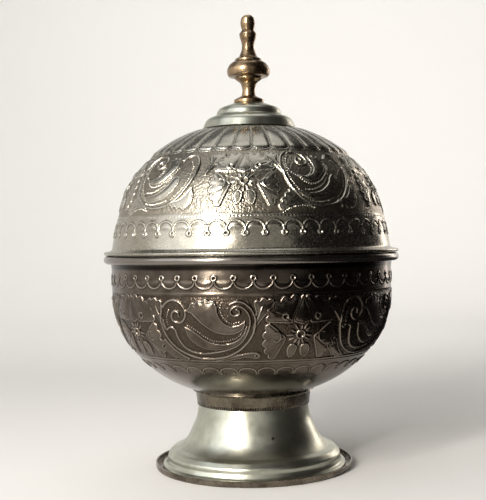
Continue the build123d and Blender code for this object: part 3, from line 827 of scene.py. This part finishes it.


# %% [markdown]
# ## The scrolls
# Between two flowers lies a large scroll. On the lid it is a round frame that holds a volute and
# two crescent leaves. On the bowl two volutes face each other over a long comma leaf. Each line
# below is a stroke of the liner, in mm from the middle of the flower to the left of the scroll. A
# leaf has its height and how wide its sides slope, and then its outline in parts. A part runs
# smoothly, open or closed, or swells into lobes by the share that is given for it.


# %% Chasing from a list of strokes
def chase(sheet, lines, leaves):
    """Chases lines and rows of beads, and leaves, each joined from its parts."""
    for tool, sizes, points in lines.values():
        tool(sheet, smooth(points), *sizes)
    for sizes, *parts in leaves.values():
        outline = [lobes(points, way) if isinstance(way, float) else smooth(points, way == "closed")
                   for way, points in parts]
        sheet.leaf(np.concatenate(outline), *sizes)
    print("chased", ", ".join([*lines, *leaves]))


# %% Lid scroll
LID_LINES = {
    "frame": (Sheet.ridge, (1.7, 0.75), [
        (31, 23.4), (27.6, 21), (25.2, 16.6), (24.6, 10.8), (25.8, 4.9), (27.7, -1),
        (30.4, -6.3), (33.6, -10.4), (38.4, -13.8), (45, -15.8), (51.8, -16.2), (58.4, -14.8),
        (64.6, -11.2), (69.4, -6), (73, 0), (75.4, 6.4), (75.8, 13), (73.6, 18.4), (69.6, 21.6),
        (64.8, 21), (61.4, 17.4)]),
    "left beads": (Sheet.beads, (1.6, 0.55, 0.3), [
        (28.4, 18.2), (27.4, 12.5), (28.6, 5.4), (30.8, -0.8), (34.4, -6.4), (39, -10)]),
    "right beads": (Sheet.beads, (1.6, 0.55, 0.3), [
        (60.6, -11), (65.6, -6.6), (69.6, -0.8), (71.8, 5.6), (71.8, 12), (69, 16.6)]),
    "volute": (Sheet.ridge, (1.3, 0.6), [
        (32.1, 22.4), (37.1, 22.8), (41.6, 21.4), (44.2, 18.4), (44.8, 15.2), (43, 12.6),
        (39.8, 12), (37.2, 13.6), (36.6, 16.2), (38.2, 18.2), (40.4, 17.6), (40.8, 15.8)]),
    "volute beads": (Sheet.beads, (1.5, 0.55, 0.4), [
        (31.2, 19.6), (29.2, 15.6), (28.8, 10.8), (30.6, 6.6), (34.4, 3.8), (39.4, 2.9),
        (43.8, 4.7), (46.5, 8.6), (46.4, 12.8)]),
    "crescent beads": (Sheet.beads, (1.5, 0.6, 0.42), [
        (36.4, 1.6), (40.2, -1.4), (45, -2), (49.8, -0.4), (54, 2.8), (57.8, 7), (60.6, 11.6)]),
    "inner beads": (Sheet.beads, (1.5, 0.5, 0.35), [
        (38.4, -5.8), (42.6, -6), (47.6, -4.6), (52, -2), (55.2, 1.4), (57.4, 5.2)]),
    "outer beads": (Sheet.beads, (1.5, 0.5, 0.35), [
        (40.6, -13.2), (46, -14), (52, -13.2), (57, -11.6)]),
    "tail beads": (Sheet.beads, (1.5, 0.5, 0.4), [
        (22.8, -20.6), (27, -18), (32.2, -16.6), (37, -16.4), (42, -17.6)]),
}
LID_LEAVES = {
    "crescent": (
        (1.05, 3.0),
        ("open", [(35.4, 3.6), (39.7, 0.6), (44.4, 0), (48.8, 1.4), (52.6, 4.4), (56.2, 8),
                  (58.8, 12.4), (60, 16.8)]),
        (0.4, [(59.4, 18), (56.2, 19.6), (51.8, 20.4), (47.6, 19)]),
        ("open", [(48.6, 15), (49, 11), (47.6, 7), (44.6, 4), (40.4, 2.4)]),
    ),
    "lower crescent": (
        (1.0, 2.6),
        ("closed", [(32.6, -7), (38.4, -8.6), (43.4, -8.4), (48.4, -7.2), (52.8, -4.6),
                    (56.4, -1.2), (58.6, 2.4), (61.6, 4.6), (64.2, 2.6), (63.8, -1.4),
                    (60.8, -5.6), (56.8, -9), (51.8, -11.2), (45.6, -12.2), (38.6, -11.2)]),
    ),
    "tail": (
        (0.95, 2.4),
        ("open", [(22.4, -19.4), (26.8, -16.6), (32.1, -15.2), (36.8, -15), (41, -16.2)]),
        ("open", [(37.2, -13.4), (33.6, -9.8), (31, -5.4)]),
        (-0.42, [(30.2, -5.2), (27.6, -8.4), (24.6, -11.2), (22.6, -14.6), (21.2, -18.4)]),
    ),
    "fan": (
        (0.8, 2.2),
        (0.0, [(60, -12.6), (64.4, -12.4), (68.4, -10.8), (71.6, -7.6)]),
        ("open", [(74.6, -3.2), (76.4, -8.6), (75.6, -14), (71.6, -17.6)]),
        (-0.4, [(70.4, -18), (66.4, -17.6), (62.6, -16.8), (59.4, -15.4)]),
    ),
}

# %% Bowl scroll
BOWL_LINES = {
    "outer line": (Sheet.ridge, (1.5, 0.75), [
        (28.6, 17.6), (27.5, 12.6), (27.1, 7.9), (27.6, 3.2), (28.8, -0.9), (31.2, -6.2),
        (35.4, -10.9), (41.4, -14.5), (48.6, -16.8), (55.2, -17.4), (61.8, -16.8),
        (68.5, -15.2), (74, -12.6), (78.6, -9.2), (82.4, -5), (85.3, -0.4), (87.1, 4.6),
        (87.4, 9.6), (86.5, 13.8), (84.2, 17.4), (80.6, 20.2), (76.6, 20.9), (72.7, 19.2)]),
    "right volute": (Sheet.ridge, (1.4, 0.65), [
        (30.3, 3.2), (32.1, 4.5), (34.8, 4.4), (36.6, 2.6), (36.8, -0.6), (38, -4.2),
        (40, -8.2), (43.2, -10.9), (47.8, -12.6), (53.2, -13.2), (58.8, -12.6), (64.8, -11.4),
        (70.5, -9.6), (76.3, -6.8), (80.5, -2.4), (83.2, 3.2), (84.5, 8.6), (83.6, 13.4),
        (80.6, 17), (76.9, 18.2), (73.9, 16.8), (73.1, 14.2), (75.1, 12.4), (77.7, 13),
        (78.3, 15.2), (76.6, 16)]),
    "left volute": (Sheet.ridge, (1.5, 0.7), [
        (29.4, 17.2), (31.4, 19.6), (34.4, 21.2), (38, 21.6), (41.8, 20), (44.4, 16.9),
        (45, 13.4), (43.6, 10), (40.6, 7.9), (37.4, 8.2), (35.4, 10.6), (35.6, 13.4),
        (37.6, 15), (40, 14.2), (40.4, 11.8)]),
    "left beads": (Sheet.beads, (1.5, 0.55, 0.4), [
        (33.4, 15.4), (32, 12.6), (31.2, 9.2), (31.6, 6.6)]),
    "comma beads": (Sheet.beads, (1.45, 0.6, 0.42), [
        (45.6, 5.8), (49.4, 4.2), (53.4, 0.8), (57.6, -2.4), (62.2, -4), (67.6, -4.2),
        (73.2, -3), (77.8, -0.2), (80.6, 4.2)]),
    "leaf beads": (Sheet.beads, (1.5, 0.55, 0.4), [
        (77.9, 8.1), (74, 7.4), (71, 8.8), (68.6, 11.6), (67.2, 15.2), (67.2, 18.6)]),
}
BOWL_LEAVES = {
    "comma": (
        (0.95, 2.2),
        ("open", [(43.6, 5), (47.4, 3.5), (51, 0.8), (55.2, -2.7), (59.6, -5.2), (65.2, -6.2),
                  (71, -5.8), (76.6, -3.2), (80.2, 0.8), (82.4, 5.6)]),
        ("open", [(80.4, -1.6), (76.2, -5.6), (71, -8.2), (65.6, -9.6), (60.4, -10.2),
                  (55.4, -9.4), (50.8, -7.2), (46.6, -3.6), (44.6, 0.4)]),
    ),
    "long leaf": (
        (1.1, 4.2),
        ("open", [(45.4, 15.2), (49.2, 13.8), (52.8, 10.2), (57.2, 6), (62.4, 2.6), (67.4, 1.2),
                  (72.9, 1), (77.5, 2.4), (80.6, 5.6), (81.4, 8.8)]),
        ("open", [(77.5, 6.3), (73.3, 5.6), (69.7, 7), (66.9, 10), (65.2, 13.8), (65, 17.6)]),
        (-0.36, [(64.2, 18.6), (60.4, 20.6), (56, 20.8), (51.8, 19.4), (48.2, 17.6)]),
    ),
    "lower leaf": (
        (0.7, 1.8),
        ("closed", [(60, -19.2), (68, -18.6), (75.6, -16.8), (82.6, -15.6), (87.4, -16.9),
                    (90.3, -15.6), (89.8, -12.9), (86.6, -12.2), (82, -12.9), (75, -14.6)]),
    ),
    "foot leaf": (
        (0.75, 2.0),
        (0.42, [(24.6, -13.2), (25.6, -8.4), (26.4, -3.6)]),
        ("open", [(28.2, -6.4), (31.2, -10.6), (35.2, -14.6), (40, -17.8)]),
        (-0.3, [(37.6, -20), (33, -19.6), (28.6, -17.4)]),
    ),
}

# %% [markdown]
# ## The lid's pattern
# From the cap down: 35 flutes with round ends and beaded creases, a matted band, the frieze of
# flowers and scrolls on matted ground, a row of dots, a plain band, and a border of arches that
# meet at 50 small rings.

# %% Flutes and borders
FLUTE_ROUND = 3.2  # mm that a flute's lower end is rounded by
FLUTE_SQUARE = 3.5  # above 2 its back is flatter than round
FLUTE_RISE, FLUTE_FADE = 4.0, 6.0  # mm over which it rises from its end, and fades at its top
FLUTE_SWELL, SWELL_AT, SWELL_REACH = 0.25, 3.5, 4.0  # a share, and mm over its end
ARCHES = 10  # of a border, in one repeat
ARCH_TURN = 360 / (REPEATS * ARCHES)  # degrees


def flutes(sheet, count, offset, end, top, height):
    """Convex flutes with round lower ends, from near the cap down to an end height."""
    pitch = sheet.width / count
    across = (((sheet.x - offset) / pitch) % 1.0) * 2 - 1
    side = np.sqrt(np.maximum(1 - np.abs(across) ** FLUTE_SQUARE, 0))
    edge = end + FLUTE_ROUND * (1 - np.sqrt(np.maximum(1 - across**2, 0)))
    share = np.clip((sheet.y[:, None] - edge[None, :]) / FLUTE_RISE, 0, 1)
    fade = np.clip((top - sheet.y) / FLUTE_FADE, 0, 1)[:, None] ** 0.7
    swell = 1 + FLUTE_SWELL * np.exp(-((sheet.y[:, None] - end - SWELL_AT) / SWELL_REACH) ** 2)
    body = height * side[None, :] * np.sqrt(1 - (1 - share) ** 2) * fade * swell
    sheet.bodies = np.maximum(sheet.bodies, body)
    under = np.linspace(-0.97, 0.97, 15)
    lip = end - 0.7 + FLUTE_ROUND * (1 - np.sqrt(1 - under**2))
    for number in range(count):
        crease = offset + number * pitch
        sheet.beads([(crease, end + 2.6), (crease, top - 2.0)], 1.4, 0.6, 0.6)
        sheet.ridge(np.c_[crease + pitch * (0.5 + under / 2), lip], 0.9, 0.35)


def half_round(x, half, foot, rise, share=0.9, power=1.0):
    """The points of an arch from x over two half widths, or of a swag where its rise is below 0."""
    return [(x + half - half * share * math.cos(a), foot + rise * math.sin(a) ** power)
            for a in np.radians(np.arange(0, 181, 12))]


def border(sheet, first, ring_at, foot_at, rise, share, swell, inward):
    """Arches or swags, each a little domed, with a small ring where two of them meet."""
    for number in range(ARCHES):
        x, half = sheet.turned(first + ARCH_TURN * number), sheet.turned(ARCH_TURN / 2)
        sheet.ring((x, sheet.at(ring_at)), 1.9, 0.9, 0.6)
        arch = half_round(x, half, sheet.at(foot_at), rise, share, 0.85)
        sheet.ridge(arch, 1.2, 0.55)
        sheet.leaf(moved(arch, (0, inward)), swell, 3.0, rim=0)


# %% Lid pattern
LID_FLOWER_TURN = math.radians(-2.41)
LID_FLOWER_SIZE = 0.92

lid_sheet = Sheet("lid_dome", 86.0, (95.0, 150.0), (33.0, 229.4), top=212.0, flower_below=30.2)
flutes(lid_sheet, 7, lid_sheet.turned(3.7), lid_sheet.at(209.5), lid_sheet.y[-1] + 0.5, 1.0)
flower(lid_sheet, (0, 0), LID_FLOWER_SIZE)
for mirror, x in ((False, -1.5), (True, 1.5)):
    palmette(lid_sheet, (x, 2.0), LID_FLOWER_SIZE, mirror)
chase(lid_sheet, LID_LINES, LID_LEAVES)
lid_sheet.punch_ground(lid_sheet.at(169.2), lid_sheet.at(209.3), seed=11)
dots_at = lid_sheet.at(168.0)
lid_sheet.beads([(0, dots_at), (lid_sheet.width, dots_at)], 2.2, 0.55, 0.2)
border(lid_sheet, 0.55, 157.8, 159.8, rise=5.6, share=0.96, swell=0.55, inward=-0.6)

# %% [markdown]
# ## The bowl's pattern
# Under the rim 50 small rings hang between swags, then come a ridge, the frieze on matted ground,
# two thin lines and a border of small arches with curls. The belly below is plain and burnished.

# %% Bowl pattern
BOWL_FLOWER_TURN = math.radians(18.7)

bowl_sheet = Sheet("bowl", 92.0, (66.0, 64.6), (94.8, 134.5), top=123.0, flower_below=26.7)
flower(bowl_sheet, (0, 0))
for mirror in (False, True):
    palmette(bowl_sheet, (0, 0), 1.0, mirror)
chase(bowl_sheet, BOWL_LINES, BOWL_LEAVES)
bowl_sheet.ring((88.2, -14.5), 1.6, 0.8, 0.4)
bowl_sheet.punch_ground(bowl_sheet.at(80.4), bowl_sheet.at(121.0), seed=12)
bowl_sheet.band(bowl_sheet.at(121.6), 1.6, 0.10)
for z in (80.2, 78.6):
    bowl_sheet.band(bowl_sheet.at(z), 0.8, 0.3)
border(bowl_sheet, 3.6, 131.0, 129.6, rise=-4.9, share=0.94, swell=0.45, inward=0.6)
a = np.radians(np.arange(0, 420, 30))  # a curl turns a little over once, and closes in
curl = np.c_[1.5 * np.sin(a), 1.2 * np.cos(a)] * (1 - a / 9)[:, None]
curl += (0, bowl_sheet.at(72.0) - 0.4)
for number in range(8):
    x, half = bowl_sheet.turned(1.3 + 9 * number), bowl_sheet.turned(4.5)
    bowl_sheet.ridge(half_round(x, half, bowl_sheet.at(72.6), 4.2), 1.0, 0.5)
    bowl_sheet.ridge(curl + (x, 0), 0.9, 0.5)

# %% [markdown]
# ## From sheet to solid
# The height map is bent round the axis five times. A grid is added for each fifth, its vertices are
# put in place, its two long edges are merged so that the section closes, and its open ends are
# capped. The neighbours' vertices lie at the same places. The shading normals are worked out over
# the whole ring, so the joints between the fifths don't show. Hand work is never quite even, so
# slow waves of a tenth of a millimetre lie over the whole surface.

# %% The bent surface
WAVES, WAVE_DEPTH = 26, 0.10  # mm
WEAR_SHEEN_REACH, WEAR_SHEEN_HEIGHT = 3, 0.5  # rows round a place, and mm over them at which it is worn bright and painted with a highlight
END_FADE = 5.0  # mm at both ends of the band, over which the relief fades out


def blurred(heights, reach):
    """The heights averaged over about reach steps each way; columns wrap round."""
    for _ in range(reach):
        heights = (heights + np.roll(heights, 1, 1) + np.roll(heights, -1, 1)) / 3
        padded = np.pad(heights, ((1, 1), (0, 0)), mode="edge")
        heights = (padded[:-2] + padded[1:-1] + padded[2:]) / 3
    return heights


def uneven(turns, arcs, seed):
    """Slow waves over a whole band, in mm, that meet themselves after one turn."""
    chance = np.random.default_rng(seed)
    waves = np.zeros((len(arcs), len(turns)))
    for _ in range(WAVES):
        round_count, along = chance.integers(2, 34), chance.uniform(-0.35, 0.35)
        shift = chance.uniform(0, 2 * math.pi)
        waves += np.sin(round_count * turns[None, :] + along * arcs[:, None] + shift) / WAVES**0.5
    return waves * WAVE_DEPTH


def bent_surface(sheet, first_turn, seed):
    """Places and normals, rows by columns, of a whole piece, with its shares of wear and painted
    highlight, and of matting.
    """
    height, matted = sheet.finished()
    # High places take wear and a painted highlight, and low ones take patina.
    rubbed_and_sheen = np.clip(0.5 + (height - blurred(height, WEAR_SHEEN_REACH)) / WEAR_SHEEN_HEIGHT, 0, 1)
    columns = PANEL_COLUMNS * REPEATS
    turns = first_turn + SECTOR * np.arange(columns) / PANEL_COLUMNS
    to_end = np.minimum(sheet.y - sheet.y[0], sheet.y[-1] - sheet.y)
    fade = np.clip(to_end / END_FADE, 0, 1)[:, None]
    lift = (np.tile(height, (1, REPEATS)) + uneven(turns, sheet.y, seed)) * fade
    slope = np.gradient(sheet.profile, axis=0)
    slope /= np.hypot(*slope.T)[:, None]
    radius = sheet.profile[:, :1] + slope[:, 1:] * lift
    z = sheet.profile[:, 1:] - slope[:, :1] * lift
    inner = np.array(eased([sheet.profile[-2], *sheet.rest, sheet.profile[1]]))[1:-1]
    radius = np.concatenate([radius, np.repeat(inner[:, :1], columns, 1)])
    z = np.concatenate([z, np.repeat(inner[:, 1:], columns, 1)])
    places = np.stack([radius * np.sin(turns), -radius * np.cos(turns), z], axis=-1)
    across = np.roll(places, -1, 1) - np.roll(places, 1, 1)
    onward, behind = np.roll(places, -1, 0) - places, places - np.roll(places, 1, 0)
    far, near = (np.maximum(np.linalg.norm(part, axis=-1, keepdims=True), TINY)
                 for part in (onward, behind))
    normals = np.cross(across, onward / far * near + behind / near * far)
    normals /= np.maximum(np.linalg.norm(normals, axis=-1, keepdims=True), TINY**2)
    plain = np.zeros((len(inner), PANEL_COLUMNS))
    shares = [np.tile(np.concatenate([part, plain + base]), (1, REPEATS))
              for part, base in ((rubbed_and_sheen, 0.5), (matted, 0.0))]
    return places, normals, shares


# %% Panels
def panel(name, number, places, normals, shares):
    """One fifth of a chased piece as a closed mesh."""
    rows, all_columns = places.shape[:2]
    columns = number * PANEL_COLUMNS + np.arange(PANEL_COLUMNS + 1)
    pick = np.ix_(np.arange(rows + 1) % rows, columns % all_columns)
    bpy.ops.mesh.primitive_grid_add(x_subdivisions=PANEL_COLUMNS, y_subdivisions=rows, size=1,
                                    calc_uvs=True)
    made = bpy.context.object
    made.name = made.data.name = f"{name}_{number + 1}"
    mesh = made.data
    grid = np.empty((len(mesh.vertices), 3))
    mesh.vertices.foreach_get("co", grid.ravel())
    order = np.lexsort((grid[:, 0].round(6), grid[:, 1].round(6)))
    layers = (("facing", "FLOAT_VECTOR", "vector", normals),
              ("rubbed_and_sheen", "FLOAT", "value", shares[0]), ("matted", "FLOAT", "value", shares[1]))
    values = np.empty_like(grid)
    values[order] = places[pick].reshape(-1, 3) * MM
    mesh.vertices.foreach_set("co", values.ravel())
    for title, kind, key, numbers in layers:
        values = np.empty((len(grid), *numbers.shape[2:]))
        values[order] = numbers[pick].reshape(values.shape)
        mesh.attributes.new(title, kind, "POINT").data.foreach_set(key, values.ravel())
    mesh.uv_layers[0].name = "OFBake"
    bpy.ops.object.mode_set(mode="EDIT")
    bpy.ops.mesh.select_all(action="SELECT")
    bpy.ops.mesh.remove_doubles(threshold=1e-7)
    bpy.ops.mesh.select_all(action="DESELECT")
    bpy.ops.mesh.select_mode(type="EDGE")
    bpy.ops.mesh.select_non_manifold()
    bpy.ops.mesh.fill_holes(sides=0)
    bpy.ops.object.mode_set(mode="OBJECT")
    bpy.ops.object.shade_smooth()
    facing = np.empty((len(mesh.vertices), 3))
    mesh.attributes["facing"].data.foreach_get("vector", facing.ravel())
    mesh.normals_split_custom_set_from_vertices(facing.tolist())
    mesh.attributes.remove(mesh.attributes["facing"])
    made.select_set(False)
    return made


def chased_piece(name, node, body, material, surface):
    """The five panels of a piece, riding on its body in place of its CAD node."""
    for number in range(REPEATS):
        made = panel(name, number, *surface)
        made.data.materials.append(material)
        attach(made, body)
        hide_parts(node)
    made.data.calc_loop_triangles()
    print("each", name, "has", len(made.data.loop_triangles), "triangles")


lid_surface = bent_surface(lid_sheet, LID_FLOWER_TURN, 21)
chased_piece("lid_panel", "lid_dome", "lid", chased_tin, lid_surface)
bowl_surface = bent_surface(bowl_sheet, BOWL_FLOWER_TURN, 22)
chased_piece("bowl_panel", "bowl", "base", chased_dark, bowl_surface)
